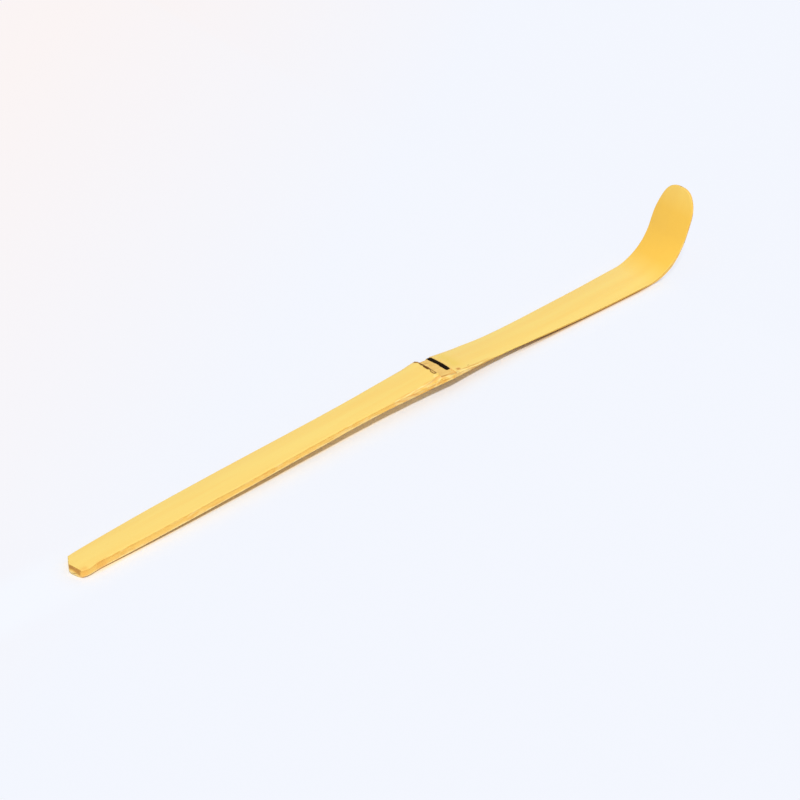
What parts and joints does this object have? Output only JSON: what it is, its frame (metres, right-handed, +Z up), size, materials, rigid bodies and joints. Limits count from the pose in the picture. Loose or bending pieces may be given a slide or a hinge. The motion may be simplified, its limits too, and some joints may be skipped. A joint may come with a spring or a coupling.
{
  "type": "tea scoop",
  "caption": "Slender bamboo tea scoop with a node in the middle, an arched waist and a spoon end bent up to a rounded tip.",
  "frame": {"origin": "middle of the scoop's box, on the surface that it lies on", "axes": "+X along the strip from the cut end of the handle to the bent-up tip, +Z up, +Y across"},
  "size_m": [0.1724, 0.0104, 0.0181],
  "materials": {
    "wood": "knife-cut bamboo wood, satin, with lengthwise fibres",
    "rind": "natural bamboo skin, satin to slightly glossy, smooth",
    "band": "matte, faintly fibrous bare band of the node",
    "dark_line": "matte, nearly black line of the node",
    "scar": "rough dark brown edge of the sheath scar",
    "diaphragm": "matte, paler and rougher remains of the cross wall"
  },
  "bodies": {
    "root": {"inner_wood": "wood", "handle_rind": "rind", "scoop_rind": "rind", "node_band": "band", "nodal_ring": "dark_line", "sheath_scar": "scar", "diaphragm_scar": "diaphragm"}
  },
  "joints": []
}
